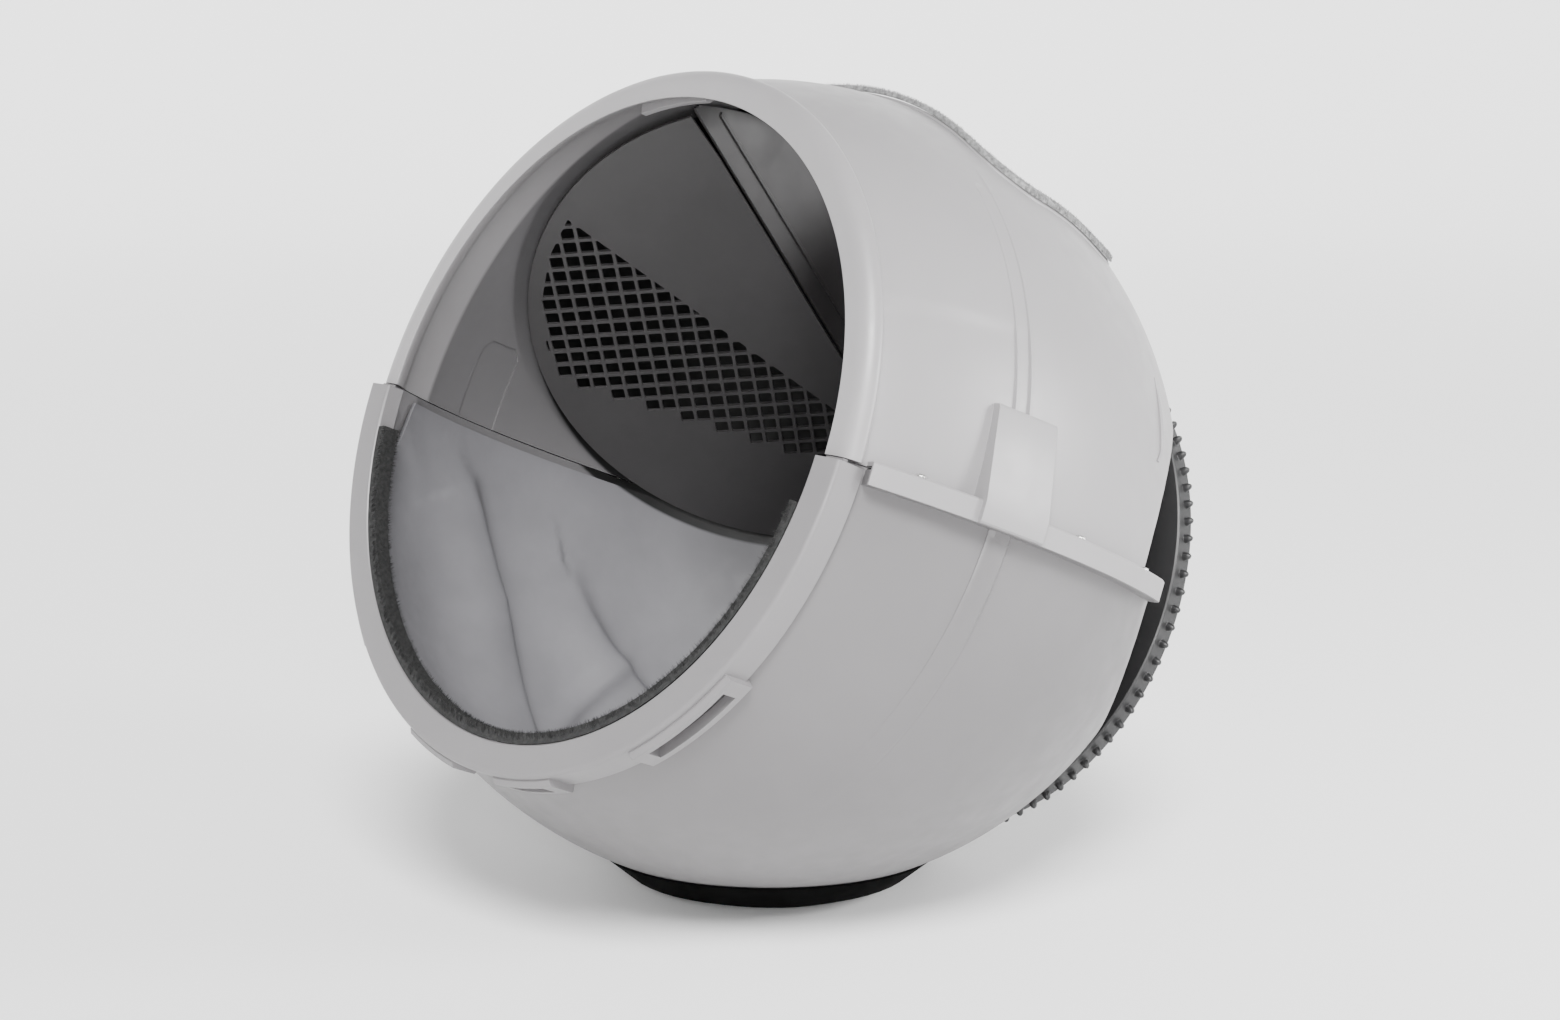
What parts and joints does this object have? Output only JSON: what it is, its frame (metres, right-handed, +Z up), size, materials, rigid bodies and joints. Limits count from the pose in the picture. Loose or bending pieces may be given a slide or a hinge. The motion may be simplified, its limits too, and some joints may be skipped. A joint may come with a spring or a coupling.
{
  "type": "cat litter box with hood",
  "caption": "Round hooded litter drum on a foot: hood, lined pan, entry bezel, sifting screen, divider, waste opening and ring gear.",
  "frame": {"origin": "centre of the flat underside of the round foot dish", "axes": "+Z up, the entry faces -Y and tips upward by 22.5 degrees, +X to the right seen from above with the entry at the bottom"},
  "size_m": [0.5268, 0.4843, 0.5117],
  "materials": {
    "hood_plastic": "satin moulded plastic",
    "pan_plastic": "satin moulded plastic",
    "bezel_plastic": "satin moulded plastic",
    "liner_rubber": "soft matte rubber",
    "seal_pile": "dense short pile",
    "port_pile": "dense short pile",
    "screen_plastic": "fine grained dark plastic",
    "septum_plastic": "fine grained dark plastic",
    "gear_plastic": "satin black plastic",
    "foot_plastic": "matt black plastic",
    "gasket_foam": "closed cell foam",
    "magnet_cap": "sealed magnet",
    "screw_steel": "bright plated steel"
  },
  "bodies": {
    "pan": {"lower_shell": "pan_plastic", "liner": "liner_rubber", "ring_gear": "gear_plastic", "rear_hub": "gear_plastic", "foot_dish": "foot_plastic", "seam_gasket_left": "gasket_foam", "seam_gasket_right": "gasket_foam", "home_position_magnet": "magnet_cap", "dump_position_magnet": "magnet_cap", "hub_screw_1": "screw_steel", "hub_screw_2": "screw_steel", "hub_screw_3": "screw_steel", "gear_screw_1": "screw_steel", "gear_screw_2": "screw_steel", "gear_screw_3": "screw_steel", "gear_screw_4": "screw_steel", "gear_screw_5": "screw_steel", "foot_screw_1": "screw_steel", "foot_screw_2": "screw_steel", "foot_screw_3": "screw_steel", "foot_screw_4": "screw_steel"},
    "hood": {"upper_shell": "hood_plastic", "septum": "septum_plastic", "sifting_screen": "screen_plastic", "screen_tab": "hood_plastic", "waste_port_collar": "hood_plastic", "waste_port_seal": "port_pile", "screen_standoff_1": "screen_plastic", "screen_standoff_2": "screen_plastic", "screen_standoff_3": "screen_plastic", "flange_screw_left_1": "screw_steel", "flange_screw_left_2": "screw_steel", "flange_screw_left_3": "screw_steel", "flange_screw_right_1": "screw_steel", "flange_screw_right_2": "screw_steel", "flange_screw_right_3": "screw_steel"},
    "bezel": {"entry_bezel": "bezel_plastic", "entry_pile_seal": "seal_pile"}
  },
  "joints": [
    {"name": "hood_lift", "type": "slide", "parent": "pan", "child": "hood", "axis": [0, 0.3827, 0.9239], "range_m": [0, 0.25]},
    {"name": "bezel_pull", "type": "slide", "parent": "pan", "child": "bezel", "axis": [0, -0.9239, 0.3827], "range_m": [0, 0.06]}
  ]
}
